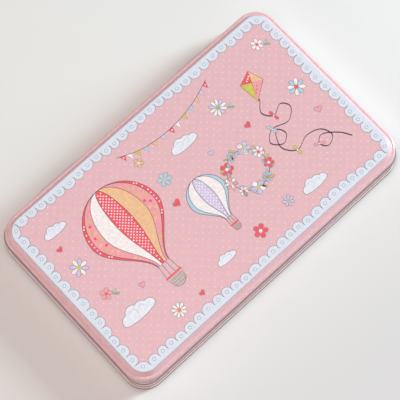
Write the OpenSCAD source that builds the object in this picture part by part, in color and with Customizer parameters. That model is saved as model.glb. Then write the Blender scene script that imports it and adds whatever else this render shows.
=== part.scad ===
// Slim tinplate games tin: a stepped lid that swings on two butt hinges,
// a seamed base with a stop bead, and a moulded tray for two decks of cards.
//
// Millimetres. The origin is the middle of the foot, +Z up, the long side
// along X, the front towards -Y and the hinges along the back, towards +Y.
// Every sheet section is drawn in two axes: u runs outward from the lid's
// outer face, so that u = 0 is that face, and z runs up from the foot.

/* [Overall] */
// Outside length of the closed lid, along X
lid_l = 190; // [184:1:240]
// Outside width of the closed lid, along Y
lid_w = 115; // [114:1:150]
// Height from the foot to the top of the lid's raised panel
total_h = 23.3; // [22.5:0.1:30]
// Thickness of the tinplate
sheet_t = 0.3; // [0.22:0.02:0.34]

/* [Lid] */
// Depth of the lid from its raised panel to the edge of its skirt
lid_depth = 10.2; // [9:0.1:12]
// Radius of the lid's corners, measured on its outer face
lid_corner_r = 12.5; // [12:0.1:14]
// Distance in plan from the lid's outer face to the fold of the raised panel
rim_w = 4.1; // [3.9:0.05:4.6]
// Distance in plan from the panel's fold to the valley round it
valley_w = 2.1; // [1.8:0.05:2.3]
// Depth of the valley below the raised panel
valley_h = 3.3; // [2.8:0.05:3.6]
// Rise from the valley to the crown line of the rolled shoulder
shoulder_rise = 0.4; // [0.2:0.05:0.6]
// Radius of the rolled shoulder, on the middle of the sheet
shoulder_r = 1.1; // [0.8:0.05:1.2]
// Radius of the panel's fold, on the middle of the sheet
fold_r = 0.7; // [0.5:0.05:0.9]
// Radius of the roll in the valley, on the middle of the sheet
valley_r = 0.5; // [0.4:0.05:0.6]

/* [Base] */
// Gap between the lid's skirt and the ledge on which it stops
seat_gap = 0.1; // [0.05:0.05:0.2]
// Gap between the top of the neck and the underside of the lid's valley
neck_clear = 0.8; // [0.5:0.1:2]
// How far the neck stands inside the lid's outer face
neck_in = 1.8; // [1.7:0.05:2]
// How far the stop bead stands out from the wall
bead_out = 0.8; // [0.5:0.05:1]
// Height of the stop bead
bead_h = 1.9; // [1.7:0.05:2.3]
// How much smaller the radius of the wall's corners is than that of the lid's
corner_step = 1.5; // [0.5:0.1:1.6]
// Radius of the small curls that make the cut edges safe, on the middle of the sheet
curl_r = 0.3; // [0.24:0.02:0.32]
// Length of sheet turned back behind a curled edge
curl_back = 1.1; // [0.6:0.1:1.6]

/* [Foot seam] */
// Height of the double seam that joins the bottom to the wall
seam_h = 2.9; // [2.6:0.1:3.4]
// Gap between the folded layers of the seam
seam_gap = 0.04; // [0.03:0.01:0.06]
// Height of the underside's recess above the foot
recess_h = 2.2; // [1.8:0.1:2.6]
// Radius of the rolls at the foot, on the middle of the sheet
foot_r = 0.5; // [0.4:0.05:0.6]
// Rise of the stiffening step in the bottom
bottom_step = 0.5; // [0.3:0.05:0.7]
// Distance in plan from the lid's outer face to the stiffening step
bottom_step_in = 8; // [6:0.5:12]
// Radius of the stiffening step's corners
step_corner_r = 7; // [4:0.5:10]

/* [Hinges] */
// Length of each hinge
hinge_w = 24; // [18:1:30]
// Distance between the middles of the two hinges
hinge_spacing = 100; // [80:1:110]
// Thickness of the hinge leaves
leaf_t = 0.4; // [0.35:0.05:0.5]
// Distance from the edge of the lid's skirt down to the hinge axis
axis_drop = 1.1; // [1:0.1:1.3]
// Diameter of the hinge pins
pin_d = 1.4; // [1.2:0.1:1.5]
// Gap all round between a pin and its knuckles
pin_gap = 0.04; // [0.02:0.01:0.08]
// Gap between neighbouring knuckles
knuckle_gap = 0.15; // [0.1:0.05:0.3]
// Number of knuckles in each hinge, an odd number
knuckles = 5; // [3:2:7]
// Diameter of a pin's domed heads
head_d = 2; // [1.8:0.1:2.2]
// Thickness of a pin's domed heads
head_t = 0.5; // [0.4:0.05:0.6]
// Distance from the crown line of the lid's shoulder down to the lid leaves
leaf_crown_gap = 1.85; // [1.6:0.05:3]
// Distance from the foot seam up to the base leaves
leaf_foot_gap = 1.5; // [1:0.1:3.5]
// Diameter of the dimples left by the spot welds
weld_d = 2; // [1.4:0.1:2.4]
// Depth of those dimples
weld_h = 0.1; // [0.05:0.05:0.2]

/* [Card tray] */
// Long side of a playing card
card_l = 88; // [80:1:89]
// Short side of a playing card
card_w = 63; // [56:1:64]
// Room between a deck and its well, over the whole size
card_room = 1; // [0.6:0.2:2]
// Width of the middle well, for dice and counters
dice_w = 33; // [20:1:34]
// Thickness of the moulded tray
tray_t = 0.5; // [0.4:0.05:0.6]
// Distance from the top of the base's neck down to the tray's rim
tray_drop = 1.1; // [0.8:0.1:2.5]
// Gap all round between the tray and the base's rolled edge
tray_gap = 0.35; // [0.25:0.05:0.5]
// Depth of the tray's turned-down edge
tray_lip_h = 3; // [2:0.1:5]
// Radius of the wells' corners in plan
well_corner_r = 3; // [2.5:0.5:4]
// Radius of the roll where a well meets the rim and its floor
well_roll_r = 1.2; // [0.8:0.1:1.5]
// Radius of the thumb scoops
scoop_r = 8; // [6:0.5:8]
// Depth of the thumb scoops below the tray's rim
scoop_h = 9; // [6:0.5:10]

/* [Hidden] */

arc_steps = 5;      // straight pieces in each rounded bend of a section
$fn = 64;

half_t = sheet_t / 2;
overrun = 1;        // how far a cut runs past what it cuts
lap = 0.8;          // how far flat plates reach into the sheet that they join

// lid
skirt_z = total_h - lid_depth;
panel_z = total_h - half_t;
crown_z = panel_z - valley_h + shoulder_rise;
plate_lap = 2;      // flat sheet between the fold and the flat plate's edge
curl_flat = 0.05;   // flat sheet between the two bends of a curl
curl_w = 2 * curl_r + curl_flat;

// base
wall_corner_r = lid_corner_r - corner_step;
bead_r = bead_h * 0.3;
neck_u = -neck_in - half_t;
neck_top = panel_z - valley_h - half_t - neck_clear;
ledge_z = skirt_z - seat_gap - half_t;

// foot seam: five layers, one sheet and one gap apart
layer = sheet_t + seam_gap;
seam_turn_r = layer * 0.9;      // just under half the width of a hook
wall_u = -half_t;
bottom_z = recess_h + half_t;
floor_z = recess_h + bottom_step + sheet_t;
step_run = 1.2;     // the stiffening step slopes over this distance
step_roll_r = 0.4;
seam_lap = 3;       // flat sheet between the lid's outer face and the seam's own sweep

// hinges
knuckle_bore_r = pin_d / 2 + pin_gap;
knuckle_r = knuckle_bore_r + leaf_t;
axis_y = lid_w / 2 + knuckle_r;
axis_z = skirt_z - axis_drop;
knuckle_pitch = hinge_w / knuckles;
leaf_clear = 0.2;   // a leaf's plate stays this far from the other leaf's knuckles
leaf_corner_r = 2.5;
bead_clear = 0.5;   // the stop bead ends this far from the pins' heads
bead_break = hinge_w + 2 * (head_t + bead_clear);
lid_leaf_h = crown_z - leaf_crown_gap - axis_z;
base_leaf_h = axis_z - seam_h - leaf_foot_gap;

// tray
tray_rim_z = neck_top - tray_drop;
tray_u = neck_u - half_t - curl_w - tray_gap;
tray_l = lid_l + 2 * tray_u;
tray_w = lid_w + 2 * tray_u;
tray_corner_r = wall_corner_r + tray_u;
well_l = card_l + card_room;
well_w = card_w + card_room;
well_rib = (tray_l - 2 * well_w - dice_w) / 4;
well_x = dice_w / 2 + well_rib + well_w / 2;
well_floor_z = floor_z + tray_t;
core_r = 0.5;       // corner radius of the block in the middle of a well's solid

// ---------- sections: rounded paths given a thickness ----------

function unit(v) = v / norm(v);
function normal(v) = [-v[1], v[0]];

// Points of the arc that rounds corner b between a and c with radius r
function bend(a, b, c, r) =
    let (to_a = unit(a - b), to_c = unit(c - b), spread = acos(to_a * to_c))
    r == 0 || spread > 179.5 ? [b] :
    let (
        reach = r / tan(spread / 2),
        centre = b + unit(to_a + to_c) * r / sin(spread / 2),
        from = b + to_a * reach - centre,
        to = b + to_c * reach - centre,
        turn = 180 - spread,
        side = from[0] * to[1] - from[1] * to[0] > 0 ? 1 : -1,
        start = atan2(from[1], from[0])
    )
    [for (k = [0:arc_steps])
        let (a = start + side * turn * k / arc_steps)
        centre + r * [cos(a), sin(a)]];

// A path through nodes [u, z, radius], each inner node rounded by its radius
function rounded(nodes) =
    let (p = [for (n = nodes) [n[0], n[1]]], last = len(nodes) - 1)
    concat(
        [p[0]],
        [for (i = [1:last - 1]) each bend(p[i - 1], p[i], p[i + 1], nodes[i][2])],
        [p[last]]
    );

// The path moved sideways by d, mitred at its points
function beside(p, d) =
    let (last = len(p) - 1)
    [for (i = [0:last])
        let (
            n1 = normal(unit(p[max(i, 1)] - p[max(i, 1) - 1])),
            n2 = normal(unit(p[min(i, last - 1) + 1] - p[min(i, last - 1)])),
            m = unit(n1 + n2)
        )
        p[i] + m * d / (m * n1)];

// The closed section of a sheet of thickness t whose middle follows the nodes
module sheet(nodes, t) {
    p = rounded(nodes);
    left = beside(p, t / 2);
    right = beside(p, -t / 2);
    polygon(concat(left, [for (i = [len(right) - 1:-1:0]) right[i]]));
}

// ---------- sweeps round a rectangle with rounded corners ----------

// A section carried along the back of an l by w rectangle, from x0 to x1
module back_run(w, x0, x1) {
    translate([x0, w / 2, 0])
        rotate([90, 0, 90])
            linear_extrude(x1 - x0)
                children();
}

// A section carried round an l by w rectangle whose corners have radius r.
// With open_back the straight stretch along the back is left out.
module around(l, w, r, open_back = false) {
    for (side = [0:3]) {
        across = side % 2 == 0 ? l : w;
        deep = side % 2 == 0 ? w : l;
        rotate(90 * side) {
            if (side > 0 || !open_back)
                back_run(deep, r - across / 2, across / 2 - r) children();
            translate([across / 2 - r, deep / 2 - r, 0])
                rotate_extrude(angle = 90)
                    translate([r, 0])
                        children();
        }
    }
}

module rounded_plate(l, w, r, z0, z1) {
    translate([0, 0, z0])
        linear_extrude(z1 - z0) {
            square([l - 2 * r, w], center = true);
            square([l, w - 2 * r], center = true);
            for (x = [-1, 1], y = [-1, 1])
                translate([x * (l / 2 - r), y * (w / 2 - r)])
                    circle(r);
        }
}

// ---------- lid ----------

module lid_section() {
    fold_u = -rim_w;
    sheet([
        [fold_u - plate_lap, panel_z],
        [fold_u, panel_z, fold_r],
        [fold_u + valley_w, panel_z - valley_h, valley_r],
        [-half_t, crown_z, shoulder_r],
        [-half_t, skirt_z + half_t, curl_r],
        [-half_t - curl_w, skirt_z + half_t, curl_r],
        [-half_t - curl_w, skirt_z + half_t + curl_back]
    ], sheet_t);
}

module lid_shell() {
    inset = rim_w + plate_lap - lap;
    color([0.89, 0.74, 0.76]) {
        around(lid_l, lid_w, lid_corner_r)
            lid_section();
        rounded_plate(lid_l - 2 * inset, lid_w - 2 * inset, lid_corner_r - inset,
                      panel_z - half_t, panel_z + half_t);
    }
}

// ---------- base ----------

// Wall section, from the body hook in the foot seam, up over the stop bead and
// ledge to the neck's curled edge. Without the bead the wall runs up straight.
module wall_section(bead) {
    hook_u = wall_u + 2 * layer;
    turn_z = layer + half_t;
    bead_u = wall_u + bead;
    sheet([
        [hook_u, seam_h - sheet_t - seam_turn_r],
        [hook_u, turn_z, seam_turn_r],
        [wall_u, turn_z, seam_turn_r],
        [wall_u, ledge_z + sheet_t - bead_h, bead_r / 2],
        [bead_u, ledge_z + sheet_t - bead_h * 0.9, bead_r],
        [bead_u, ledge_z, bead_r],
        [neck_u, ledge_z, curl_r],
        [neck_u, neck_top - half_t, curl_r],
        [neck_u - curl_w, neck_top - half_t, curl_r],
        [neck_u - curl_w, neck_top - half_t - curl_back]
    ], sheet_t);
}

module base_wall() {
    straight = lid_l / 2 - wall_corner_r;
    near_end = hinge_spacing / 2 - bead_break / 2;
    far_end = hinge_spacing / 2 + bead_break / 2;
    color([0.86, 0.78, 0.79]) {
        around(lid_l, lid_w, wall_corner_r, open_back = true)
            wall_section(bead_out);
        back_run(lid_w, -near_end, near_end) wall_section(bead_out);
        for (side = [0, 1])
            mirror([side, 0, 0]) {
                back_run(lid_w, near_end, far_end) wall_section(0);
                back_run(lid_w, far_end, straight) wall_section(bead_out);
            }
    }
}

// Bottom section at the edge: down the chuck wall, round the foot and over the
// top of the seam to the cover hook behind the wall's own hook
module seam_section() {
    chuck_u = wall_u - layer;
    foot_u = wall_u + 3 * layer;
    cover_u = wall_u + layer;
    sheet([
        [-seam_lap, bottom_z],
        [chuck_u, bottom_z, foot_r],
        [chuck_u, half_t, foot_r],
        [foot_u, half_t, foot_r],
        [foot_u, seam_h - half_t, seam_turn_r],
        [cover_u, seam_h - half_t, seam_turn_r],
        [cover_u, 2 * layer + seam_turn_r]
    ], sheet_t);
}

// The step that stiffens the bottom, its foot at u = 0 of its own outline
module step_section() {
    sheet([
        [plate_lap, bottom_z],
        [0, bottom_z, step_roll_r],
        [-step_run, bottom_z + bottom_step, step_roll_r],
        [-step_run - plate_lap, bottom_z + bottom_step]
    ], sheet_t);
}

module base_bottom() {
    step_l = lid_l - 2 * bottom_step_in;
    step_w = lid_w - 2 * bottom_step_in;
    edge_in = seam_lap - lap;
    hole_out = plate_lap - lap;
    floor_in = step_run + plate_lap - lap;
    top_z = bottom_z + bottom_step;
    color([0.80, 0.79, 0.79]) {
        around(lid_l, lid_w, wall_corner_r)
            seam_section();
        difference() {
            rounded_plate(lid_l - 2 * edge_in, lid_w - 2 * edge_in, wall_corner_r - edge_in,
                          bottom_z - half_t, bottom_z + half_t);
            rounded_plate(step_l + 2 * hole_out, step_w + 2 * hole_out, step_corner_r + hole_out,
                          bottom_z - overrun, bottom_z + overrun);
        }
        around(step_l, step_w, step_corner_r)
            step_section();
        rounded_plate(step_l - 2 * floor_in, step_w - 2 * floor_in, step_corner_r - floor_in,
                      top_z - half_t, top_z + half_t);
    }
}

// ---------- hinges ----------

function knuckle_x(k) = -hinge_w / 2 + k * knuckle_pitch;

// Knuckles number first, first + 2 and so on, with the tabs that join them to
// the leaf's plate above (up = 1) or below (up = -1) the axis
module knuckle_row(first, up) {
    for (k = [first:2:knuckles - 1]) {
        from = k == 0 ? 0 : knuckle_gap / 2;
        to = k == knuckles - 1 ? 0 : knuckle_gap / 2;
        translate([knuckle_x(k) + from, 0, 0]) {
            rotate([0, 90, 0])
                cylinder(r = knuckle_r, h = knuckle_pitch - from - to);
            translate([0, -knuckle_r, up > 0 ? 0 : -knuckle_r - leaf_clear - overrun])
                cube([knuckle_pitch - from - to, leaf_t, knuckle_r + leaf_clear + overrun]);
        }
    }
}

// A hinge leaf at the origin, its axis along X: knuckles, plate and welds
module leaf(first, up, height) {
    plate_z = knuckle_r + leaf_clear;
    difference() {
        union() {
            knuckle_row(first, up);
            translate([0, -knuckle_r, 0])
                rotate([90, 0, 0])
                    mirror([0, up > 0 ? 0 : 1, 0])
                        translate([0, 0, -leaf_t])
                            linear_extrude(leaf_t)
                                leaf_plate(plate_z, height);
        }
        rotate([0, 90, 0])
            cylinder(d = 2 * knuckle_bore_r, h = hinge_w + 2 * overrun, center = true);
        for (x = [-1, 0, 1])
            translate([x * hinge_w / 3, leaf_t - knuckle_r - weld_h,
                       up * (plate_z + (height - plate_z) / 2)])
                rotate([-90, 0, 0])
                    cylinder(d = weld_d, h = overrun, $fn = 24);
    }
}

// Outline of a leaf's plate, from plate_z to height, rounded at its far corners
module leaf_plate(plate_z, height) {
    r = leaf_corner_r;
    translate([-hinge_w / 2, plate_z])
        square([hinge_w, height - plate_z - r]);
    translate([r - hinge_w / 2, plate_z])
        square([hinge_w - 2 * r, height - plate_z]);
    for (x = [-1, 1])
        translate([x * (hinge_w / 2 - r), height - r])
            circle(r);
}

module at_hinge(side) {
    translate([side * hinge_spacing / 2, axis_y, axis_z])
        children();
}

module lid_leaf(side) {
    color([0.72, 0.72, 0.73])
        at_hinge(side) leaf(1, 1, lid_leaf_h);
}

module base_leaf(side) {
    color([0.70, 0.70, 0.72])
        at_hinge(side) leaf(0, -1, base_leaf_h);
}

module hinge_pin(side) {
    color([0.62, 0.62, 0.64])
        at_hinge(side) {
            rotate([0, 90, 0])
                cylinder(d = pin_d, h = hinge_w + head_t, center = true);
            for (end = [-1, 1])
                rotate([0, 90 * end, 0])
                    translate([0, 0, hinge_w / 2 + pin_gap])
                        rotate_extrude()
                            pin_head();
        }
}

// Half section of a domed head: flat below, rounded above
module pin_head() {
    dome_r = (head_d * head_d / 4 + head_t * head_t) / (2 * head_t);
    intersection() {
        translate([0, head_t - dome_r])
            circle(dome_r);
        square([head_d / 2, head_t]);
    }
}

// ---------- card tray ----------

// A filled well, l by w at its straight walls, from floor z0 past its rim z1 to
// top. The rolls at the rim and the floor have radii rim_r and floor_r.
module well_solid(l, w, r, z0, z1, top, rim_r, floor_r) {
    core = r - core_r;
    around(l, w, r)
        polygon(concat(
            [[-core, z0]],
            bend([-core, z0], [0, z0], [0, z1], floor_r),
            bend([0, z0], [0, z1], [2 * rim_r, z1], rim_r),
            [[rim_r, top], [-core, top]]
        ));
    rounded_plate(l - 2 * (core - lap), w - 2 * (core - lap), core_r + lap, z0, top);
}

// All wells, grown by grow on every side, up to the height top
module wells(grow, top) {
    rim_r = well_roll_r - grow;
    floor_r = well_roll_r + grow;
    z0 = well_floor_z - grow;
    z1 = tray_rim_z - grow;
    r = well_corner_r + grow;
    for (side = [-1, 1])
        translate([side * well_x, 0, 0])
            well_solid(well_w + 2 * grow, well_l + 2 * grow, r, z0, z1, top, rim_r, floor_r);
    well_solid(dice_w + 2 * grow, well_l + 2 * grow, r, z0, z1, top, rim_r, floor_r);
}

module scoops(grow, top) {
    scoop_z = tray_rim_z - scoop_h - grow;
    for (side = [-1, 1], end = [-1, 1])
        translate([side * well_x, end * well_l / 2, scoop_z])
            cylinder(r = scoop_r + grow, h = top - scoop_z);
}

module card_tray() {
    inner_l = tray_l - 2 * tray_t;
    inner_w = tray_w - 2 * tray_t;
    rim_mid = tray_rim_z - tray_t / 2;
    color([0.93, 0.90, 0.88]) {
        difference() {
            union() {
                rounded_plate(inner_l, inner_w, tray_corner_r - tray_t,
                              rim_mid - tray_t / 2, rim_mid + tray_t / 2);
                intersection() {
                    union() {
                        wells(tray_t, rim_mid);
                        scoops(tray_t, rim_mid);
                    }
                    translate([-inner_l / 2, -inner_w / 2, 0])
                        cube([inner_l, inner_w, tray_rim_z]);
                }
                around(tray_l, tray_w, tray_corner_r)
                    sheet([
                        [-3 * tray_t, rim_mid],
                        [-tray_t / 2, rim_mid, tray_t],
                        [-tray_t / 2, tray_rim_z - tray_lip_h]
                    ], tray_t);
            }
            wells(0, tray_rim_z + overrun);
            scoops(0, tray_rim_z + overrun);
        }
    }
}

lid_shell();
base_wall();
base_bottom();
card_tray();
lid_leaf(-1);  // lid_leaf_left
lid_leaf(1);  // lid_leaf_right
base_leaf(-1);  // base_leaf_left
base_leaf(1);  // base_leaf_right
hinge_pin(-1);  // hinge_pin_left
hinge_pin(1);  // hinge_pin_right
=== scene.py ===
from math import pi
import bpy
import numpy as np
from mathutils import Matrix, Vector


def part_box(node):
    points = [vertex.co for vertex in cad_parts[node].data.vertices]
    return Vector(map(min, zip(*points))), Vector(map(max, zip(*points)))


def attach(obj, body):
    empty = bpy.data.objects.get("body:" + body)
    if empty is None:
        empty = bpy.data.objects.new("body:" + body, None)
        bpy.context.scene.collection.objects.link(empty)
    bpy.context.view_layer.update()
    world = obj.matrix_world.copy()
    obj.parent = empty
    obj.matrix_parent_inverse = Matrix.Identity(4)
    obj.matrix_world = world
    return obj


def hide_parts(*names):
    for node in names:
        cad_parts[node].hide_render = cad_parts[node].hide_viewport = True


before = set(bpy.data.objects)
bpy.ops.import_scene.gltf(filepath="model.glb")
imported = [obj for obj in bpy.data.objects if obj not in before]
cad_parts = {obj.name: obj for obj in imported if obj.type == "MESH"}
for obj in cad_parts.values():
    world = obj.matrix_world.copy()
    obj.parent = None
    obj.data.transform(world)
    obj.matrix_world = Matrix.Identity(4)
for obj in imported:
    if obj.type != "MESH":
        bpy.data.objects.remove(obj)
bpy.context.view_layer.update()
mm = 0.001

lidLow, lidHigh = (np.array(corner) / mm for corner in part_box("lid_shell"))
lidLength, lidWidth = (lidHigh - lidLow)[:2]  # over the lid's skirt
lidTop = lidHigh[2]
sheet = 0.3  # gauge of the tinplate


def turned(vectors, angle):  # rotates 2-D vectors by one angle or by one angle each
    c, s = np.cos(angle), np.sin(angle)
    x, y = np.asarray(vectors)[..., 0], np.asarray(vectors)[..., 1]
    return np.stack([c * x - s * y, s * x + c * y], -1)


# Middle line of a bent sheet: each corner (u, z, radius) becomes an arc that touches both legs.
# Gives the points, their left normals and the length of sheet used up to each.
def bendLine(corners, bendSteps=8):
    pts = np.array([c[:2] for c in corners], float)
    radii = [c[2] if len(c) > 2 else 0 for c in corners]
    line, normals = [pts[:1]], []
    for i in range(1, len(pts) - 1):
        into, outOf = (d / np.hypot(*d) for d in (pts[i] - pts[i - 1], pts[i + 1] - pts[i]))
        turn = np.arctan2(into[0] * outOf[1] - into[1] * outOf[0], into @ outOf)
        left = np.array([-into[1], into[0]])
        angles = np.linspace(0, turn, bendSteps)
        side = turned(np.tile(left, (bendSteps, 1)), angles)
        centre = pts[i] - into * radii[i] * np.tan(abs(turn) / 2) + left * radii[i] * np.sign(turn)
        line.append(centre - side * radii[i] * np.sign(turn))
        if not normals:
            normals.append(left[None])
        normals.append(side)
    line.append(pts[-1:])
    normals.append(normals[-1][-1:])
    line, normals = np.concatenate(line), np.concatenate(normals)
    used = np.concatenate([[0], np.cumsum(np.hypot(*np.diff(line, axis=0).T))])
    return line, normals, used


# Half a turn from the middle of the right side to the middle of the left one, then its mirror image.
# A station is the share of the straight half length and half width, and the outward direction.
def ringStations(steps, breaks=()):
    share = np.linspace(0, 1, steps["side"] + 1)
    angles = np.linspace(0, pi / 2, steps["corner"] + 1)
    along = np.unique(np.concatenate([np.linspace(-1, 1, 2 * steps["long"] + 1), breaks]))[::-1]
    one = np.ones_like
    half = np.concatenate([
        np.stack([one(share), share, 0 * share], -1)[:-1],
        np.stack([one(angles), one(angles), angles], -1)[:-1],
        np.stack([along, one(along), 0 * along + pi / 2], -1)[:-1],
        np.stack([-one(angles), one(angles), angles + pi / 2], -1)[:-1],
        np.stack([-one(share), share[::-1], 0 * share + pi], -1)])
    return np.concatenate([half, half[1:-1][::-1] * [1, -1, -1]]), len(half)


# A point of the section u outside the outer face and z high, at each station: the corner's centre
# plus the corner radius along the outward direction. u and z are one row, or one row for each station.
def carryRound(u, z, stations, size, corner, least=None):
    length, width = size
    cx, cy, angle = (stations[:, i, None] for i in range(3))
    radius = corner + u if least is None else np.maximum(corner + u, least)
    x = cx * (length / 2 + u - radius) + radius * np.cos(angle)
    y = cy * (width / 2 + u - radius) + radius * np.sin(angle)
    return np.stack([x, y, z + 0 * x], -1)


def gridFaces(rows, columns, closeColumns=True):  # quads of a grid whose rows close on themselves
    r, c = np.mgrid[0:rows, 0:columns if closeColumns else columns - 1]
    r2, c2 = (r + 1) % rows, (c + 1) % columns
    quads = np.stack([r * columns + c, r2 * columns + c, r2 * columns + c2, r * columns + c2], -1)
    return quads.reshape(-1, 4)


def plateFaces(column, half, columns, up=True):  # strips across a plate between mirrored stations
    rows = 2 * half - 2
    k = np.arange(half - 1)
    quads = np.stack([k, k + 1, (rows - k - 1) % rows, (rows - k) % rows], -1) * columns + column
    return [tuple(dict.fromkeys(q if up else q[::-1])) for q in quads.tolist()]


def newMesh(name, points, faces, smoothAngle=None, finishes=(), finishOf=None):
    mesh = bpy.data.meshes.new(name)
    mesh.from_pydata((np.asarray(points, float).reshape(-1, 3) * mm).tolist(), [], [list(f) for f in faces])
    for finish in finishes:
        mesh.materials.append(finish)
    if finishOf is not None:
        mesh.polygons.foreach_set("material_index", np.asarray(finishOf, np.int32))
    if smoothAngle is not None:
        mesh.polygons.foreach_set("use_smooth", np.ones(len(mesh.polygons), bool))
        mesh.set_sharp_from_angle(angle=smoothAngle)
    mesh.update()
    piece = bpy.data.objects.new(name, mesh)
    bpy.context.scene.collection.objects.link(piece)
    return piece


def place(piece, body, slotName, *nodes):
    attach(piece, body)
    if nodes:
        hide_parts(*nodes)
    return piece


# A node's output socket. Sums on wires and numbers add Math nodes.
class Wire:
    def __init__(self, finish, socket):
        self.finish = finish
        self.socket = socket

    def math(self, operation, *others):
        inputs = dict(enumerate((self, *others)))
        return self.finish.node("ShaderNodeMath", {"operation": operation}, inputs)

    def out(self, name):  # another output of the same node
        return Wire(self.finish, self.socket.node.outputs[name])

    def __add__(self, other):
        return self.math("ADD", other)

    def __mul__(self, other):
        return self.math("MULTIPLY", other)

    def __sub__(self, other):
        return self.math("SUBTRACT", other)

    def __rsub__(self, other):
        return self.finish.node("ShaderNodeMath", {"operation": "SUBTRACT"}, {0: other, 1: self})

    __radd__ = __add__
    __rmul__ = __mul__


# A material under construction around one Principled shader.
class Finish:
    def __init__(self, name, **fixed):
        self.material = bpy.data.materials.new(name)
        self.material.use_nodes = True
        self.nodes = self.material.node_tree.nodes
        self.links = self.material.node_tree.links
        self.shader = self.nodes["Principled BSDF"]
        for socket, value in fixed.items():
            self.shader.inputs[socket.replace("_", " ")].default_value = value

    def node(self, kind, settings=None, inputs=None, out=0):
        made = self.nodes.new(kind)
        for key, value in (settings or {}).items():
            setattr(made, key, value)
        for key, value in (inputs or {}).items():
            self.feed(made.inputs[key], value)
        return Wire(self, made.outputs[out])

    def feed(self, socket, value):
        if isinstance(value, Wire):
            self.links.new(value.socket, socket)
        else:
            socket.default_value = value

    def blend(self, factor, a, b):  # colour a where the factor is 0, b where it is 1
        return self.node("ShaderNodeMix", {"data_type": "RGBA"}, {0: factor, 6: a, 7: b}, out=2)

    def place(self):
        return self.node("ShaderNodeTexCoord", out="Object")

    def noise(self, perMetre, detail=2.0, roughness=0.5, at=None):
        inputs = {"Vector": at or self.place(), "Scale": perMetre, "Detail": detail, "Roughness": roughness}
        return self.node("ShaderNodeTexNoise", {"noise_dimensions": "3D"}, inputs)

    def between(self, value, low, high, start=0.0, end=1.0):  # smooth step of a value
        inputs = {"Value": value, "From Min": low, "From Max": high, "To Min": start, "To Max": end}
        return self.node("ShaderNodeMapRange", {"interpolation_type": "SMOOTHSTEP"}, inputs)

    def set(self, **varying):
        for socket, value in varying.items():
            self.feed(self.shader.inputs[socket.replace("_", " ")], value)
        return self.material


def srgb(r, g, b):  # screen colour, 0 to 255, as the linear colour a shader takes
    c = np.array([r, g, b]) / 255
    linear = np.where(c <= 0.04045, c / 12.92, ((c + 0.055) / 1.055) ** 2.4)
    return (*linear.tolist(), 1.0)


printed = dict(ground=(223, 180, 186), groundDeep=(220, 176, 183), dot=(237, 204, 209),
               dotCell=5.06, dotRadius=0.42, dotSoft=0.12, dotCentre=(1.84, -0.53),
               varnish=0.5, rough=(0.32, 0.41),
               hem=(186, 124, 134), hemShadeFade=(0.0136, 0.0172),  # between these heights its pink deepens, painted shade down the skirt
               hemEdgeShade=(146, 94, 102), hemEdgeShadeFade=(0.0132, 0.0142))  # and a painted shadow line darkens its hem


# Polka dots in rows set half a cell apart: distance from each point of the flat sheet to the nearest
# centre of one square lattice, or of a second one moved by half a cell both ways.
def dotField(finish, blank):
    cell = printed["dotCell"] * mm
    nearest = None
    for shift in (0.0, 0.5):
        moved = finish.node("ShaderNodeVectorMath", {"operation": "SUBTRACT"},
                            {0: blank, 1: (*(c * mm + shift * cell for c in printed["dotCentre"]), 0)})
        split = finish.node("ShaderNodeSeparateXYZ", inputs={0: moved})
        away = [finish.node("ShaderNodeMath", {"operation": "PINGPONG"},
                            {0: split.out(axis), 1: cell / 2}) for axis in "XY"]
        length = (away[0] * away[0] + away[1] * away[1]).math("SQRT")
        nearest = length if nearest is None else nearest.math("MINIMUM", length)
    soft, radius = printed["dotSoft"] * mm, printed["dotRadius"] * mm
    return 1 - finish.between(nearest, radius - soft, radius + soft)


def pinkPrint():
    f = Finish("pink_dotted_print_painted_hem_shade", IOR=1.5, Coat_Roughness=0.12)
    blank = f.node("ShaderNodeAttribute", {"attribute_name": "blank"}, out="Vector")
    mottled = f.between(f.noise(260, 4.0, 0.65), 0.35, 0.65)
    ground = f.blend(mottled, srgb(*printed["ground"]), srgb(*printed["groundDeep"]))
    high = f.node("ShaderNodeSeparateXYZ", inputs={0: f.place()}, out=2)
    # painted shade: the pink darkens down the skirt, and a painted shadow line darkens the hem's edge
    ground = f.blend(f.between(high, *printed["hemShadeFade"], 0.85, 0.0), ground, srgb(*printed["hem"]))
    ground = f.blend(f.between(high, *printed["hemEdgeShadeFade"], 1.0, 0.0), ground, srgb(*printed["hemEdgeShade"]))
    speck = f.between(f.noise(700, 1.0, at=blank), 0.3, 0.7, 0.45, 1.0)
    return f.set(Base_Color=f.blend(dotField(f, blank) * speck, ground, srgb(*printed["dot"])),
                 Coat_Weight=f.between(high, *printed["hemShadeFade"], 0.0, printed["varnish"]),
                 Roughness=f.between(f.noise(400), 0.3, 0.7, *printed["rough"]))


def tinplate(name, light, dark, rough, streak=(1.0, 1.0, 1.0), grain=500):
    f = Finish(name, Metallic=1.0)
    stretched = f.node("ShaderNodeMapping", inputs={"Vector": f.place(), "Scale": streak})
    cloudy = f.between(f.noise(grain, 4.0, 0.6, at=stretched), 0.3, 0.7)
    return f.set(Base_Color=f.blend(cloudy, srgb(*light), srgb(*dark)), Roughness=cloudy * 0.06 + rough)


# One colour below and another above, which meet between two heights in metres. metallic is one
# number, or a pair of numbers for below and above.
def shaded(name, low, high, heights, metallic, rough, coat=0.0, specular=0.5):
    f = Finish(name, IOR=1.5, Coat_Weight=coat, Coat_Roughness=0.08)
    f.shader.inputs["Specular IOR Level"].default_value = specular
    height = f.node("ShaderNodeSeparateXYZ", inputs={0: f.place()}, out=2)
    above = f.between(height, *heights)
    cloudy = f.between(f.noise(300, 4.0, 0.6), 0.3, 0.7)
    low = f.blend(cloudy, srgb(*low), srgb(*(0.97 * c for c in low)))
    if isinstance(metallic, tuple):
        metallic = f.between(above, 0, 1, *metallic)
    return f.set(Base_Color=f.blend(above, low, srgb(*high)), Metallic=metallic,
                 Roughness=cloudy * 0.08 + rough)


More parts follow.
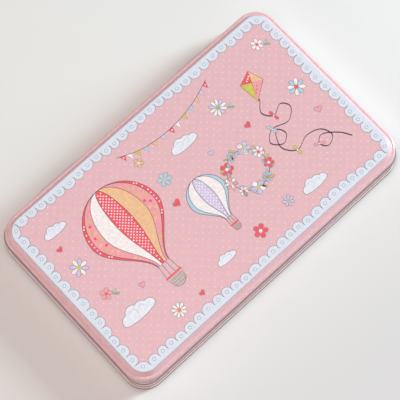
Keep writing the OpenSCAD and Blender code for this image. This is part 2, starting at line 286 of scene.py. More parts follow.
def trayPlastic():
    f = Finish("tray_plastic", IOR=1.49)
    cloudy = f.between(f.noise(35, 3.0), 0.3, 0.7)
    grain = {"Height": f.noise(5200, 2.0), "Distance": 0.00002, "Strength": 0.35}
    bump = f.node("ShaderNodeBump", inputs=grain, out="Normal")
    return f.set(Base_Color=f.blend(cloudy, srgb(238, 235, 234), srgb(234, 230, 229)),
                 Roughness=f.between(f.noise(90, 3.0), 0.3, 0.7, 0.38, 0.46), Normal=bump)


pink = pinkPrint()
bare = tinplate("bare_tinplate", (208, 205, 201), (198, 195, 191), 0.2, (0.12, 1.0, 1.0))
ledgeShade = tinplate("ledge_shade_tinplate", (186, 180, 177), (172, 166, 163), 0.5)  # the ledge under the lid's hem, darker as painted shade and rougher to dull the lamp's glint
# painted shade: the bead turns dull dark maroon, not metallic, towards its top under the lid's hem
beadPaintedShade = shaded("bead_tinplate_painted_shade", (218, 212, 211), (156, 122, 126), (0.01262, 0.01284), (1.0, 0.0),
                   0.35, 0.0, 0.0)
pinkSide = shaded("rose_lacquer", (238, 205, 211), (249, 232, 235), (0.003, 0.010), 0.2, 0.25, 0.3)
# painted light and shade: the seam's roll is pale on its top and dark lower on its outer side
rollPaintedLightShade = shaded("rose_roll_lacquer_painted_light_shade", (140, 104, 108), (232, 204, 206), (0.00245, 0.0029), 0.1,
                  0.45, 0.0, 0.3)
# painted contact shade: the seam's outer face is a darkened pink, near black towards the foot
seamPaintedShade = shaded("rose_seam_lacquer_painted_shade", (56, 38, 42), (136, 98, 103), (0.001, 0.0024), 0.2, 0.5, 0.0, 0.1)
hingeSteel = tinplate("hinge_steel", (196, 195, 193), (178, 177, 175), 0.3, (0.06, 1.0, 1.0), 1400)
plastic = trayPlastic()


lid = dict(corner=12.5, sunk=0.05,  # the panel lies this far under the top, which leaves room for the inks
           section=[(-6.1, 23.15), (-4.1, 23.15, 0.7), (-2.0, 19.85, 0.5), (-0.15, 20.25, 1.1),
                    (-0.15, 13.25, 0.3), (-0.8, 13.25, 0.3), (-0.8, 14.35)],
           steps=dict(side=8, corner=18, long=14))


def lidLine():  # middle line of the lid's section, with its panel sunk for the inks
    corners = [(c[0], c[1] - lid["sunk"] * (c[1] > lidTop - sheet), *c[2:]) for c in lid["section"]]
    return bendLine(corners)


# Half the gauge to each side of the section's line, carried round. The attribute holds each point's
# place on the flat sheet, as far out as the length of section used up to it.
def makeLid():
    line, normals, used = lidLine()
    outer = line + normals * sheet / 2
    inner = (line - normals * sheet / 2)[::-1]
    uz = np.concatenate([outer, inner])
    flat = np.concatenate([used, used[::-1]]) + lid["section"][0][0]
    stations, half = ringStations(lid["steps"])
    size = (lidLength, lidWidth)
    points = carryRound(uz[:, 0], uz[:, 1], stations, size, lid["corner"])
    blank = carryRound(flat, 0 * flat, stations, size, lid["corner"])
    rows, columns = points.shape[:2]
    faces = gridFaces(rows, columns, False)
    plates = plateFaces(0, half, columns) + plateFaces(columns - 1, half, columns, False)
    column = np.tile(np.arange(columns - 1), rows)
    finishOf = np.concatenate([(column >= len(line) - 1) * 1, [0] * (half - 1), [1] * (half - 1)])
    piece = newMesh("lid_tinplate", points, [*faces.tolist(), *plates], 0.6, (pink, bare), finishOf)
    attribute = piece.data.attributes.new("blank", "FLOAT_VECTOR", "POINT")
    attribute.data.foreach_set("vector", (blank * mm).ravel())
    return place(piece, "lid", "lid_print", "lid_shell")


print("lid:", makeLid().name)


inkStep = 0.005  # height of one layer of ink
foldLift, foldEase = 0.02, 0.2  # inks stand so much higher past the fold, from this far along the sheet


# Where a point of the flat sheet lies on the pressed lid: past the edge of the level panel, a rounded
# rectangle, its distance from that edge is used up along the section. Lifted along the sheet's normal.
def onLid(flat, lift):
    line, normals, used = lidLine()
    edge = line[1, 0]
    radius = lid["corner"] + edge
    core = np.array([lidLength, lidWidth]) / 2 + edge - radius
    out = np.maximum(np.abs(flat) - core, 0)
    length = np.hypot(*out.T)
    away = out / np.maximum(length, 1e-9)[:, None] * np.sign(flat)
    past = np.maximum(length - radius, 0)
    clear = foldLift * np.clip((used - used[1]) / foldEase, 0, 1)[:, None]
    face = line + normals * (sheet / 2 + lift + clear)
    u, z = (np.interp(used[1] + past, used, face[:, i]) for i in (0, 1))
    return np.column_stack([flat + away * (u - edge - past)[:, None], z])


# Shapes of one colour. Each becomes a closed plate from the panel's face up to its layer.
class Ink:
    drawn = 0

    def __init__(self, name, finish):
        self.name, self.finish = name, finish
        self.points, self.faces, self.count = [], [], 0

    def height(self, layer):  # no two plates that may overlap end at one height
        Ink.drawn += 1
        return inkStep * (layer + 0.9 * (Ink.drawn % 24) / 24)

    def plate(self, flat, tops, rim, layer):  # tops: faces seen from above, rim: the outline's order
        n = len(flat)
        self.points += [onLid(flat, self.height(layer)), onLid(flat, 0.0)]
        below = ([n + i for i in top[::-1]] for top in tops)
        beside = ((a, n + a, n + b, b) for a, b in zip(rim, np.roll(rim, -1)))
        found = [*tops, *below, *beside]
        self.faces += [[int(i) + self.count for i in face] for face in found]
        self.count += 2 * n

    def fill(self, outline, layer=1):  # one closed outline, anticlockwise
        outline = np.asarray(outline, float)
        x, y = outline.T
        if (x * np.roll(y, -1) - y * np.roll(x, -1)).sum() < 0:
            outline = outline[::-1]
        everyPoint = list(range(len(outline)))
        self.plate(outline, [everyPoint], everyPoint, layer)

    def stroke(self, path, width=0.36, layer=2):  # a line as wide as width, which may change along it
        path = np.asarray(path, float)
        along = np.gradient(path, axis=0)
        along /= np.hypot(*along.T)[:, None]
        side = np.column_stack([-along[:, 1], along[:, 0]]) * np.broadcast_to(width, len(path))[:, None] / 2
        n = len(path)
        i = np.arange(n - 1)
        tops = np.stack([i, n + i, n + i + 1, i + 1], -1).tolist()
        rim = [*range(n, 2 * n), *range(n - 1, -1, -1)]
        self.plate(np.concatenate([path + side, path - side]), tops, rim, layer)

    def loop(self, path, width=0.36, layer=2):  # a closed line
        path = np.asarray(path, float)
        along = np.roll(path, -1, 0) - np.roll(path, 1, 0)
        along /= np.hypot(*along.T)[:, None]
        side = np.column_stack([-along[:, 1], along[:, 0]]) * width / 2
        n = len(path)
        i = np.arange(n)
        j = (i + 1) % n
        tops = np.stack([i, n + i, n + j, j], -1).tolist()
        self.plateRing(np.concatenate([path + side, path - side]), tops, n, layer)

    def plateRing(self, flat, tops, n, layer):  # a plate with a hole: its rim is two loops
        m = len(flat)
        self.points += [onLid(flat, self.height(layer)), onLid(flat, 0.0)]
        i = np.arange(n)
        j = (i + 1) % n
        inner = np.stack([j, m + j, m + i, i], -1).tolist()
        outer = np.stack([n + i, m + n + i, m + n + j, n + j], -1).tolist()
        found = [*tops, *([m + k for k in top[::-1]] for top in tops), *inner, *outer]
        self.faces += [[int(k) + self.count for k in face] for face in found]
        self.count += 2 * m

    def make(self):
        piece = newMesh(self.name, np.concatenate(self.points), self.faces, 0.6, (self.finish,))
        return place(piece, "lid", "lid_print")


def disc(centre, wide, steps=20):
    t = np.arange(steps) * 2 * pi / steps
    return np.column_stack([wide / 2 * np.cos(t), wide / 2 * np.sin(t)]) + centre


# A drop from the centre outwards: as wide as a sine of the way round, fullest past the middle.
def petal(centre, length, width, angle, start=0.0, steps=16):
    t = np.arange(steps) * 2 * pi / steps
    x = start + length * (1 - np.cos(t)) / 2
    y = width / 2 * np.sin(t) * (0.55 + 0.45 * (1 - np.cos(t)) / 2)
    return turned(np.column_stack([x, y]), angle) + centre


# The usual heart curve: the cube of a sine across, and a sum of four cosines up.
def heart(centre, size, angle=0.0, steps=32):
    t = np.arange(steps) * 2 * pi / steps
    x = 16 * np.sin(t) ** 3
    y = 13 * np.cos(t) - 5 * np.cos(2 * t) - 2 * np.cos(3 * t) - np.cos(4 * t)
    return turned(np.column_stack([x, y]) * size / 32, angle) + centre


# A smooth line through the points: on each stretch a cubic whose slope at a point is half the way
# between its neighbours.
def curve(points, steps=10):
    p = np.asarray(points, float)
    slope = np.gradient(p, axis=0)
    t = np.linspace(0, 1, steps, endpoint=False)[:, None]
    a, b, c, d = 2 * t**3 - 3 * t**2 + 1, t**3 - 2 * t**2 + t, 3 * t**2 - 2 * t**3, t**3 - t**2
    parts = [a * p[i] + b * slope[i] + c * p[i + 1] + d * slope[i + 1] for i in range(len(p) - 1)]
    return np.concatenate([*parts, p[-1:]])


def ink(name, colour, deeper=0.94):
    f = Finish(name, IOR=1.5, Coat_Weight=printed["varnish"], Coat_Roughness=0.12)
    cloudy = f.between(f.noise(700, 3.0), 0.3, 0.7)
    low = srgb(*(c * deeper for c in colour))
    return f.set(Base_Color=f.blend(cloudy, srgb(*colour), low),
                 Roughness=f.between(f.noise(400), 0.3, 0.7, *printed["rough"]))


lace = dict(unit=((5.7, 3.1), (6.2, 3.2), (6.1, 2.2), (7.0, 2.4), (6.3, 2.9), (7.6, 3.4), (6.3, 3.2),
                  (5.9, 3.1), (6.1, 2.2), (6.3, 1.7), (7.1, 2.0), (6.4, 2.2), (7.1, 2.5), (6.6, 2.8)),
            # width of each scallop and how far in its eyelet lies; they then repeat
            longSide=(13, 26, -83.1, 84.9), shortSide=(12, 14, -45.4, 46.1),  # first, how many, start, end
            valley=-0.1, tip=2.85,  # past the eyelets' depth
            tickFrom=(-0.1, 0.35), tickTo=(0.2, -1.15),  # from the valley
            rim=5, levels=5, pointsEach=12, cornerPoints=18,  # steps round the fold, across and along
            cornerEyelet=(0.3, 0.35),  # as shares of the corner scallop's reach
            ringSize=1.6, eyeletSize=1.35,
            lineWidth=0.28, edgeWidth=0.3, ringWidth=0.3, tickWidth=(0.48, 0.15),
            white=(217, 224, 235), line=(158, 138, 156), edgeLine=(146, 118, 140), tickLine=(104, 84, 104),
            ring=(152, 158, 184), eyelet=(226, 232, 242))


# One run of scallops, seen with its edge as the zero line: across, and how deep into the panel. Each
# scallop is half an ellipse over the line between its two valleys, which lie between the eyelets' depths.
def laceSide(first, count, start, end):
    widths, eyes = np.array([lace["unit"][(first + i) % len(lace["unit"])] for i in range(count)]).T
    across = np.concatenate([[0], np.cumsum(widths)])
    across = start + across / across[-1] * (end - start)
    ends = np.concatenate([eyes[:1], (eyes[1:] + eyes[:-1]) / 2, eyes[-1:]]) + lace["valley"]
    t = np.linspace(0, pi, lace["pointsEach"], endpoint=False)
    share = (1 - np.cos(t)) / 2
    x = across[:-1, None] + np.diff(across)[:, None] * share
    chord = ends[:-1, None] + np.diff(ends)[:, None] * share
    rise = eyes + lace["tip"] - (ends[1:] + ends[:-1]) / 2
    return x.ravel(), (chord + rise[:, None] * np.sin(t)).ravel(), across, ends, eyes


# The inner outline of the band, then rows of points from it straight out to the fold and round its bend.
def makeLace():
    line, _, used = lidLine()
    fold = np.array([lidLength, lidWidth]) / 2 + line[1, 0]  # the fold round the panel
    core = np.array([lidLength, lidWidth]) / 2 - lid["corner"]
    inner, ticks, eyes = [], [], []
    runs = (lace["longSide"], lace["shortSide"]) * 2
    sides = [laceSide(*run) for run in runs]
    for turn, (x, depth, across, ends, eyeDepths) in enumerate(sides):
        here, ahead = fold[1 - turn % 2], fold[turn % 2]
        spin = turn * pi / 2
        inner.append(turned(np.column_stack([x, depth - here]), spin))
        tick = np.array([lace["tickFrom"], lace["tickTo"]])
        ticks += [turned(tick + [valley, deep - here], spin) for valley, deep in zip(across, ends)]
        middle = (across[1:] + across[:-1]) / 2
        eyes += list(turned(np.column_stack([middle, eyeDepths - here]), spin))
        # the scallop in the corner after this run, a quarter of an ellipse between the two end valleys
        after = sides[(turn + 1) % 4]
        corner = np.array([ahead - after[3][0], ends[-1] - here])
        reach = corner[0] - across[-1], after[2][0] - corner[1]
        t = np.linspace(pi, pi / 2, lace["cornerPoints"], endpoint=False)
        inner.append(turned(corner + np.column_stack([np.cos(t), np.sin(t)]) * reach, spin))
        eyes.append(turned(corner + lace["cornerEyelet"] * np.array([-1, 1]) * reach, spin))
    inner = np.concatenate(inner)
    out = np.maximum(np.abs(inner) - core, 0)
    straight = np.abs(inner) - core
    away = np.where(straight.max(1)[:, None] > 0, out, straight == straight.max(1)[:, None])
    away = away / np.hypot(*away.T)[:, None] * np.sign(inner)
    foot = np.clip(inner, -core, core)
    reach = lid["corner"] + line[1, 0]
    bends = used[1:2 + lace["rim"]] - used[1]
    level = np.linspace(0, 1, lace["levels"])[:-1, None, None]
    grid = np.concatenate([inner * (1 - level) + (foot + away * reach) * level,
                           foot + away * (reach + bends[:, None, None])])
    rows, n = grid.shape[:2]
    r, c = np.mgrid[0:rows - 1, 0:n]
    c2 = (c + 1) % n
    tops = np.stack([r * n + c, (r + 1) * n + c, (r + 1) * n + c2, r * n + c2], -1).reshape(-1, 4)
    return inner, grid[-1], grid.reshape(-1, 2), tops, rows, ticks, eyes


def makeLacePrint():
    inner, outer, flat, tops, rows, ticks, eyes = makeLace()
    n, m = len(inner), len(flat)
    band = Ink("lace_band", ink("lace_white_ink", lace["white"], 0.97))
    i = np.arange(n)
    j = (i + 1) % n
    last = (rows - 1) * n
    band.points += [onLid(flat, inkStep), onLid(flat, 0.0)]
    sides = [*np.stack([j, m + j, m + i, i], -1).tolist(),
             *np.stack([last + i, m + last + i, m + last + j, last + j], -1).tolist()]
    band.faces = [*tops.tolist(), *(tops[:, ::-1] + m).tolist(), *sides]
    band.make()
    drawn = Ink("lace_outline", ink("lace_line_ink", lace["line"]))
    drawn.loop(inner, lace["lineWidth"], 2)
    drawn.make()
    border = Ink("lace_border", ink("lace_border_ink", lace["edgeLine"]))
    border.loop(outer, lace["edgeWidth"], 2)
    border.make()
    short = Ink("lace_ticks", ink("lace_tick_ink", lace["tickLine"]))
    for tick in ticks:
        short.stroke(np.linspace(*tick, 4), np.linspace(*lace["tickWidth"], 4), 3)
    short.make()
    rings = Ink("eyelet_rings", ink("eyelet_ink", lace["ring"]))
    middles = Ink("eyelet_centres", ink("eyelet_white_ink", lace["eyelet"], 0.98))
    for eye in eyes:
        rings.loop(disc(eye, lace["ringSize"], steps=14), lace["ringWidth"], 2)
        middles.fill(disc(eye, lace["eyeletSize"], steps=12), 2)
    rings.make()
    middles.make()


makeLacePrint()
print("lace: done")


inkColours = dict(coral=(238, 82, 98), salmon=(240, 160, 168), cream=(246, 238, 238),
                  peach=(238, 190, 146), beige=(206, 188, 184), lime=(206, 198, 88),
                  paleBlue=(176, 208, 226), teal=(140, 204, 212), lilac=(208, 198, 230),
                  orange=(240, 124, 84), leaf=(150, 184, 122), cloud=(232, 234, 243),
                  darkLine=(84, 56, 70), softLine=(150, 132, 142))
inks = {name: Ink("ink_" + name, ink("ink_" + name, colour)) for name, colour in inkColours.items()}


def outlined(colour, outline, layer=2, line="softLine", width=0.3):
    inks[colour].fill(outline, layer)
    inks[line].loop(outline, width, layer + 1)


def blossom(centre, size, petals, colour, heartColour, turn=0.0, plump=1.0):
    for i in range(petals):
        angle = turn + i * 2 * pi / petals
        shape = petal(centre, size * 0.46, plump * 2.3 * size / petals, angle, size * 0.05)
        outlined(colour[i % len(colour)], shape, 3, width=0.24)
    inks[heartColour].fill(disc(centre, size * 0.24), 5)


def leafOn(root, length, angle, colour="leaf", width=0.42):
    shape = petal(root, length, length * width, angle)
    outlined(colour, shape, 3, width=0.22)


balloons = (
    dict(centre=(-42, 14), radius=22.5, drop=30, neck=3.8, basket=(9.6, 7.2), rope=8.0,
         gores=("coral", "salmon", "cream", "coral", "peach", "salmon", "coral"),
         dotted="coral", spotted="salmon"),
    dict(centre=(0, -5), radius=11.5, drop=16, neck=2.2, basket=(4.8, 3.8), rope=4.8,
         gores=("paleBlue", "cream", "lilac", "cream", "paleBlue"), dotted="lilac", spotted="paleBlue"))


# Half width of the envelope: a circle above its middle, and below it a cosine that ends in the neck.
# The gores divide it at the sines of equal angles.
def balloon(centre, radius, drop, neck, gores, basket, rope, dotted, spotted):
    cx, cy = centre
    high = np.concatenate([-drop * np.linspace(1, 0, 18, endpoint=False),
                           radius * np.sin(np.linspace(0, pi / 2, 16))])
    share = np.clip(-high / drop, 0, 1)
    lower = neck + (radius - neck) * ((1 + np.cos(pi * share)) / 2) ** 0.85
    half = np.where(high < 0, lower, np.sqrt(np.maximum(radius**2 - high**2, 1e-4)))
    seams = np.sin(np.linspace(-pi / 2, pi / 2, len(gores) + 1))
    for i, colour in enumerate(gores):
        left, right = cx + half * seams[i], cx + half * seams[i + 1]
        leftEdge, rightEdge = np.column_stack([left, cy + high]), np.column_stack([right, cy + high])
        shape = np.concatenate([leftEdge, rightEdge[-2::-1]])
        outlined(colour, shape, 2, "darkLine", 0.26)
        pitch = 2.2 if colour == dotted else 4.4
        if colour not in (dotted, spotted):
            continue
        for row, y in enumerate(np.arange(-drop + 3, radius - 2, pitch / 2)):
            here = np.interp(y, high, half)
            x = np.arange(-12, 12) * pitch + (row % 2) * pitch / 2
            size = 0.85 if colour == dotted else 1.7
            for x0 in x[(x > here * seams[i] + size * 0.7) & (x < here * seams[i + 1] - size * 0.7)]:
                mixed = ("lime", "coral", "peach")[(row + int(x0 // pitch)) % 3]
                spot = "cream" if colour == dotted else mixed
                inks[spot].fill(disc((cx + x0, cy + y), size, steps=10), 4)
    wide, deep = basket
    top = cy - drop - rope
    for side in (-1, -0.35, 0.35, 1):
        line = np.array([[cx + side * neck * 0.95, cy - drop + 0.3], [cx + side * wide * 0.46, top]])
        inks["darkLine"].stroke(np.linspace(*line, 3), 0.24, 2)
    t = np.linspace(0, pi, 12)
    belly = np.column_stack([cx + wide * 0.4136 * np.cos(t), top - deep * (0.55 + 0.45 * np.sin(t))])
    bowl = np.concatenate([[[cx + wide / 2, top]], belly, [[cx - wide / 2, top]]])
    outlined("beige", bowl, 3, "darkLine", 0.26)
    for row in range(1, 4):
        y = top - deep * row * 0.24
        band = curve([(cx - wide * 0.42, y), (cx, y - 0.35), (cx + wide * 0.42, y)], 6)
        inks["softLine"].stroke(band, 0.24, 5)
    for column in np.linspace(-0.3, 0.3, 5):
        ends = (cx + column * wide, top), (cx + column * wide * 0.9, top - deep * 0.86)
        inks["softLine"].stroke(np.linspace(*ends, 3), 0.22, 5)
    rim = [(cx - wide * 0.54, top + 0.1), (cx + wide * 0.54, top + 0.1)]
    inks["coral"].stroke(np.linspace(*rim, 5), 1.0, 5)


clouds = ((-69, -27, 21), (-72, 35, 14), (10, 24, 17), (46, -39, 16), (-16, -37, 12))  # x, y and width
puffs = ((-0.33, 0.0, 0.17), (-0.12, 0.1, 0.2), (0.13, 0.06, 0.18), (0.34, -0.01, 0.16))  # x, y and radius


# The highest of four circles at each place across, closed below by a shallow arc.
def cloud(x, y, wide):
    across = -0.5 * np.cos(np.linspace(0, pi, 60))
    tops = [np.where(np.abs(across - xc) > r, -9, yc + np.sqrt(np.maximum(r * r - (across - xc) ** 2, 0)))
            for xc, yc, r in puffs]
    top = np.maximum(np.max(tops, 0), -0.03)
    below = across[1:-1:3][::-1]
    belly = -0.03 - 0.12 * np.sqrt(1 - (2 * below) ** 2)
    shape = np.concatenate([np.column_stack([across, top]), np.column_stack([below, belly])])
    outlined("cloud", shape * wide + [x, y], 2)
    t = np.linspace(-0.6, 2.4, 14)
    for xc, yc, r in puffs[1:3]:
        curl = np.array([xc, yc - 0.03]) + r * 0.55 * np.column_stack([np.cos(t), np.sin(t)])
        inks["paleBlue"].stroke(curl * wide + [x, y], 0.26, 4)


bunting = dict(string=[(-22, 43), (-8, 37.5), (10, 35.6), (28, 38), (43, 43)], flags=13, flag=3.6,
               colours=("coral", "cream", "lime", "paleBlue", "peach", "lilac"))


def makeBunting():
    string = curve(bunting["string"], 16)
    inks["darkLine"].stroke(string, 0.28, 4)
    spots = np.linspace(2, len(string) - 5, bunting["flags"]).astype(int)
    size = bunting["flag"]
    for i, at in enumerate(spots):
        along = string[at + 2] - string[at]
        a, b = string[at], string[at] + along / np.hypot(*along) * size * 0.86
        tip = (a + b) / 2 - [0, size]
        colour = bunting["colours"][i % len(bunting["colours"])]
        outlined(colour, [a, tip, b], 2, width=0.24)
        if colour == "coral":
            inks["cream"].fill(disc((a + b) / 2 - [0, size * 0.32], 0.8, steps=10), 4)


kite = dict(centre=(60, 25), width=13, height=18, tilt=-0.45, colours=("peach", "coral", "lime", "salmon"),
            tail=[(56.5, 15), (52, 9), (56, 3.5), (63, 6), (66, 1), (59.5, -4), (50, -1.5), (44, -6.5),
                  (49, -11.5), (54, -8), (51, -3.2), (46.5, -12), (52, -19), (61, -16.5), (69, -19),
                  (71.5, -25.5), (66, -28.5), (63, -24.5), (67.5, -21.5), (75, -27), (79, -33)],
            bows=(3, 7, 13, 18))


def makeKite():
    centre, tilt = np.array(kite["centre"], float), kite["tilt"]
    w, h = kite["width"] / 2, kite["height"]
    tips = turned(np.array([[w, 0], [0, h * 0.38], [-w, 0], [0, -h * 0.62]]), tilt) + centre
    for i, colour in enumerate(kite["colours"]):
        outlined(colour, [centre, tips[i], tips[(i + 1) % 4]], 2, "darkLine", 0.26)
    for share in (0.3, 0.55, 0.8):
        spot = centre + (tips[1] - centre) * share * 0.7 + (tips[2] - centre) * (1 - share) * 0.5
        inks["cream"].fill(disc(spot, 0.9, steps=10), 4)
        spot = centre + (tips[3] - centre) * share * 0.72 + (tips[0] - centre) * (1 - share) * 0.45
        inks["coral"].fill(disc(spot, 0.9, steps=10), 4)
    tail = curve([tips[3], *kite["tail"]], 12)
    ahead = np.gradient(tail, axis=0)
    swell = 0.34 + 0.42 * np.abs(np.sin(np.arctan2(ahead[:, 1], ahead[:, 0]) - 0.5)) ** 2
    inks["darkLine"].stroke(tail, swell, 4)
    for i, at in enumerate(kite["bows"]):
        spot = tail[at * 12]
        ahead = tail[at * 12 + 3] - spot
        angle = np.arctan2(ahead[1], ahead[0]) + pi / 2
        colour = ("coral", "paleBlue", "lime", "salmon")[i % 4]
        for side in (0, pi):
            outlined(colour, petal(spot, 3.2, 2.2, angle + side), 5, width=0.22)
        inks["cream"].fill(disc(spot, 0.8, steps=10), 7)


wreath = dict(centre=(25, -9), radius=11.5, blossoms=9, leaves=27)


def makeWreath():
    centre, radius = np.array(wreath["centre"], float), wreath["radius"]
    inks["darkLine"].loop(disc(centre, 2 * radius, steps=72), 0.3, 2)
    greens = ("leaf", "teal", "lime", "paleBlue")
    for i in range(wreath["leaves"]):
        angle = i * 2 * pi / wreath["leaves"]
        root = centre + radius * np.array([np.cos(angle), np.sin(angle)])
        lean = angle + pi / 2 + (0.75 if i % 2 else -0.75)
        leafOn(root, 3.8 + 0.7 * np.sin(i * 2.1), lean, greens[i % len(greens)])
    pales = (("cream",), ("lilac", "cream"), ("paleBlue",), ("coral",), ("cream", "salmon"))
    for i in range(wreath["blossoms"]):
        angle = 0.3 + i * 2 * pi / wreath["blossoms"]
        spot = centre + (radius + 0.5 * np.sin(i * 1.7)) * np.array([np.cos(angle), np.sin(angle)])
        heartColour = ("coral", "lime", "orange", "cream", "peach")[i % 5]
        size, petals = 6.6 + 1.5 * np.sin(i * 2.3), (6, 5, 8, 5, 7)[i % 5]
        blossom(spot, size, petals, pales[i % 5], heartColour, i * 0.7)


# x, y, size, number of petals, their colours in turn, and the middle's colour
blossoms = ((-76, 12, 10.0, 8, ("cream", "lilac"), "lime"), (-75, -8, 6.5, 5, ("salmon",), "coral"),
            (-53, -40, 8.5, 9, ("cream",), "orange"), (-11, 17, 8.0, 6, ("paleBlue",), "peach"),
            (37, 27, 10.0, 10, ("cream", "cream", "lilac"), "leaf"), (7, -38, 8.0, 5, ("coral",), "cream"),
            (29, -36, 6.5, 7, ("lilac",), "lime"), (77, 39, 7.0, 6, ("cream",), "coral"),
            (76, 7, 10.0, 8, ("cream", "paleBlue"), "coral"), (-15, 33, 5.5, 5, ("peach",), "cream"))
# x, y, size, turn and colour
hearts = ((-15, 3, 4.6, 0.3, "coral"), (76, -10, 4.4, -0.3, "salmon"), (-38, -41.5, 3.4, 0.2, "coral"),
          (42, 9, 4.0, 0.25, "coral"), (17, 11, 3.2, -0.2, "lilac"), (-77, 26, 3.4, 0.1, "coral"),
          (-58, -17, 3.6, -0.3, "salmon"))


def makePicture():
    for one in balloons:
        balloon(**one)
    for one in clouds:
        cloud(*one)
    makeBunting()
    makeKite()
    makeWreath()
    for i, (x, y, size, petals, colour, heartColour) in enumerate(blossoms):
        blossom((x, y), size, petals, colour, heartColour, i * 0.9, 0.95)
        if i % 3 == 1:
            leafOn((x + size * 0.4, y - size * 0.35), 3.6, -0.6)
            leafOn((x + size * 0.4, y - size * 0.35), 3.2, 0.35, "paleBlue")
    for x, y, size, angle, colour in hearts:
        outlined(colour, heart((x, y), size, angle), 2, width=0.24)
    for one in inks.values():
        one.make()


makePicture()
print("picture: done")


base = dict(corner=11.0, printedTo=11.3,
            wall=[(0.53, 2.294), (0.53, 0.49, 0.306), (-0.15, 0.49, 0.306), (-0.15, 11.25, 0.285),
                  (0.65, 11.44, 0.57), (0.65, 12.85, 0.57), (-1.95, 12.85, 0.3), (-1.95, 18.75, 0.3),
                  (-2.6, 18.75, 0.3), (-2.6, 17.65)],
            bottom=[(-15.0, 2.85), (-8.6, 2.85, 0.4), (-7.4, 2.35, 0.4), (-0.49, 2.35, 0.5),
                    (-0.49, 0.15, 0.5), (0.87, 0.15, 0.5), (0.87, 2.75, 0.306), (0.19, 2.75, 0.306),
                    (0.19, 0.986)],
            steps=dict(side=8, corner=18, long=14),
            beadSpan=(11.0, 13.2), beadFrom=0.1, beadInside=-0.31,  # its heights, and how far out it is
            ledgeSpan=(12.95, 13.05), ledgeAcross=(-1.8, 0.2),
            beadGap=(37.0, 63.0), gapEase=1.5,  # where the hinges interrupt it at the back
            stepCorner=(0.3, 7.0),  # least radius of its corners, at the inner edge and at the step
            seamFrom=0.3, rollFrom=2.3)  # how far out the seam's lacquer starts, and how high its roll


# Half the gauge to each side of the line, as in the lid. Where the hinges pass, the bead goes back to
# the wall's face by a smooth step, 3 s^2 - 2 s^3.
def makeWall():
    line, normals, _ = bendLine(base["wall"])
    outer, inner = line - normals * sheet / 2, line + normals * sheet / 2
    uz = np.concatenate([outer, inner[::-1]])
    size = (lidLength, lidWidth)
    straight = lidLength / 2 - base["corner"]
    ease = base["gapEase"]
    edges = [sign * (gap + side * d) for sign in (-1, 1) for gap, side in zip(base["beadGap"], (-1, 1))
             for d in np.linspace(0, ease, 5)]
    stations, _ = ringStations(base["steps"], np.array(edges) / straight)
    x = np.abs(stations[:, 0] * straight)
    low, high = base["beadGap"]
    away = np.maximum(low - x, x - high) / ease
    full = np.clip(away, 0, 1)
    full = full * full * (3 - 2 * full)
    behind = np.isclose(stations[:, 2], pi / 2) & (np.abs(stations[:, 0]) < 1)
    full = np.where(behind, full, 1.0)[:, None]
    n = len(outer)
    foot, top = base["beadSpan"]
    isBead = (uz[:, 1] > foot) & (uz[:, 1] < top) & (uz[:, 0] > base["beadInside"])
    limit = np.where(np.arange(2 * n) < n, 0.0, -sheet)
    u = np.where(isBead & (uz[:, 0] > limit), limit + (uz[:, 0] - limit) * full, uz[:, 0])
    points = carryRound(u, uz[:, 1], stations, size, base["corner"])
    rows, columns = points.shape[:2]
    faces = gridFaces(rows, columns)[:, ::-1]
    column = np.tile(np.arange(columns), rows)
    outside = column < n - 1
    out, up = uz[column].T
    (inEdge, outEdge), (underside, face) = base["ledgeAcross"], base["ledgeSpan"]
    painted = outside & (up < base["printedTo"])
    # the bead and the ledge take the finishes with painted shade
    beaded = outside & ~painted & (out > base["beadFrom"])
    ledge = outside & ~beaded & (out > inEdge) & (out < outEdge) & (up > underside) & (up < face)
    finishes = (bare, pinkSide, beadPaintedShade, ledgeShade)
    finishOf = painted + 2 * beaded + 3 * ledge
    piece = newMesh("base_tinplate", points, faces.tolist(), 0.6, finishes, finishOf)
    return place(piece, "base", "wall_print", "base_wall")


# Towards the middle the corner radius would shrink below nothing, so it is held between two limits.
def makeBottom():
    line, normals, _ = bendLine(base["bottom"])
    outer, inner = line - normals * sheet / 2, line + normals * sheet / 2
    uz = np.concatenate([outer, inner[::-1]])
    stations, half = ringStations(base["steps"])
    least = np.clip(uz[:, 0] - base["bottom"][0][0], *base["stepCorner"])
    points = carryRound(uz[:, 0], uz[:, 1], stations, (lidLength, lidWidth), base["corner"], least)
    rows, columns = points.shape[:2]
    faces = gridFaces(rows, columns, False)[:, ::-1]
    plates = plateFaces(0, half, columns, False) + plateFaces(columns - 1, half, columns)
    column = np.tile(np.arange(columns - 1), rows)
    isSeam = (column < len(line)) & (uz[column, 0] > base["seamFrom"])
    isRoll = isSeam & (uz[column, 1] > base["rollFrom"])
    finishes = (bare, seamPaintedShade, rollPaintedLightShade)
    finishOf = np.concatenate([isSeam.astype(int) + isRoll, np.zeros(len(plates), int)])
    piece = newMesh("bottom_tinplate", points, [*faces.tolist(), *plates], 0.6, finishes, finishOf)
    return place(piece, "base", "bottom_tinplate", "base_bottom")


print("base:", makeWall().name, makeBottom().name)


def dress(node, finish):
    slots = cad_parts[node].data.materials
    slots.clear()
    slots.append(finish)


dress("card_tray", plastic)
for hingeNode in ("lid_leaf_left", "lid_leaf_right", "base_leaf_left", "base_leaf_right",
                  "hinge_pin_left", "hinge_pin_right"):
    dress(hingeNode, hingeSteel)


view = dict(eye=(-158.02, -166.47, 844.89), aim=(-4.93, -4.05, 23.3), roll=-0.45, lens=145.3)


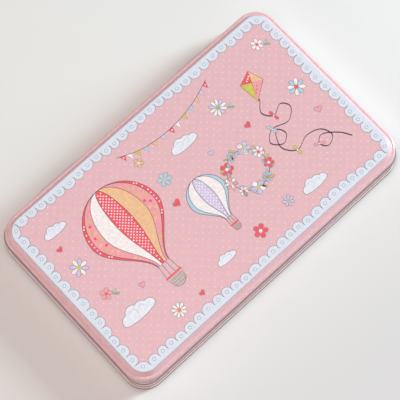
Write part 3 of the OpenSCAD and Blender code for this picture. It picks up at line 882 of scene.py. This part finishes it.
def makeCamera():
    eye, aim = Vector(view["eye"]) * mm, Vector(view["aim"]) * mm
    back = (eye - aim).normalized()
    side = Vector((0, 0, 1)).cross(back).normalized()
    up = back.cross(side)
    roll = view["roll"] * pi / 180
    side, up = side * np.cos(roll) - up * np.sin(roll), up * np.cos(roll) + side * np.sin(roll)
    data = bpy.data.cameras.new("camera")
    data.lens = view["lens"]
    data.clip_start, data.clip_end = 0.05, 20
    camera = bpy.data.objects.new("camera", data)
    camera.matrix_world = Matrix.Translation(eye) @ Matrix((side, up, back)).transposed().to_4x4()
    bpy.context.scene.collection.objects.link(camera)
    bpy.context.scene.camera = camera


# painted light and shade: the floor is lighter towards +X and darker in front, towards -Y, as the room's
# light falls off
floor = dict(reach=3000, left=(224, 224, 223), right=(230, 232, 232), front=(212, 211, 212),
             rightLightFade=(0.07, 0.14), frontFade=(-0.14, -0.03))


def makeFloor():
    f = Finish("pale_floor_painted_falloff", Roughness=0.6)
    split = f.node("ShaderNodeSeparateXYZ", inputs={0: f.place()})
    # painted shade in front, painted light towards +X
    before = 1 - f.between(split.out("Y"), *floor["frontFade"])
    right = f.between(split.out("X"), *floor["rightLightFade"])
    tone = f.blend(right, srgb(*floor["left"]), srgb(*floor["right"]))
    finish = f.set(Base_Color=f.blend(before, tone, srgb(*floor["front"])))
    corners = np.array([(-1, -1, 0), (1, -1, 0), (1, 1, 0), (-1, 1, 0)]) * floor["reach"]
    newMesh("floor", corners, [(0, 1, 2, 3)], None, (finish,))


def lamp(name, power, azimuth, elevation, distance, colour, size, mirrored=True):
    data = bpy.data.lights.new(name, "AREA")
    data.energy, data.color = power, colour
    data.shape, data.size, data.size_y = "RECTANGLE", *size
    aside, lift = np.radians([azimuth, elevation])
    towards = Vector((np.cos(lift) * np.cos(aside), np.cos(lift) * np.sin(aside), np.sin(lift)))
    one = bpy.data.objects.new(name, data)
    one.visible_glossy = mirrored
    facing = towards.to_track_quat("Z", "Y").to_matrix().to_4x4()
    one.matrix_world = Matrix.Translation(towards * distance) @ facing
    bpy.context.scene.collection.objects.link(one)


room = dict(fill=(0.22, 0.19, 0.18, 1), seen=(0.8, 0.77, 0.75, 1))  # as a light, and as the camera sees it


# Dim and warm as a light, pale where the camera or a reflection meets it.
def makeWorld():
    world = bpy.data.worlds.new("room")
    bpy.context.scene.world = world
    world.use_nodes = True
    nodes, links = world.node_tree.nodes, world.node_tree.links
    fill, seen = nodes["Background"], nodes.new("ShaderNodeBackground")
    fill.inputs["Color"].default_value = room["fill"]
    seen.inputs["Color"].default_value = room["seen"]
    path, either, mix = (nodes.new("ShaderNode" + kind) for kind in ("LightPath", "Math", "MixShader"))
    either.operation = "MAXIMUM"
    links.new(path.outputs["Is Camera Ray"], either.inputs[0])
    links.new(path.outputs["Is Glossy Ray"], either.inputs[1])
    links.new(either.outputs[0], mix.inputs[0])
    links.new(fill.outputs[0], mix.inputs[1])
    links.new(seen.outputs[0], mix.inputs[2])
    links.new(mix.outputs[0], nodes["World Output"].inputs["Surface"])


makeCamera()
makeFloor()
makeWorld()
lamps = (
    dict(name="window", power=79.6, azimuth=-15.5, elevation=20, distance=2.4,
         colour=(0.72, 0.943, 1.0), size=(0.54, 1.2)),
    dict(name="wall", power=18.0, azimuth=172, elevation=20, distance=2.4,
         colour=(0.84, 1.0, 1.0), size=(1.7, 1.0), mirrored=False),
    dict(name="ceiling", power=6.8, azimuth=200, elevation=72, distance=1.65,
         colour=(1.0, 0.79, 0.72), size=(0.6, 0.6)),
    dict(name="ceiling_unmirrored", power=5.6, azimuth=180, elevation=88, distance=1.6,
         colour=(1.0, 0.79, 0.72), size=(0.7, 0.7), mirrored=False))
for one in lamps:
    lamp(**one)
bpy.context.scene.view_settings.view_transform = "Standard"
print("room: done")
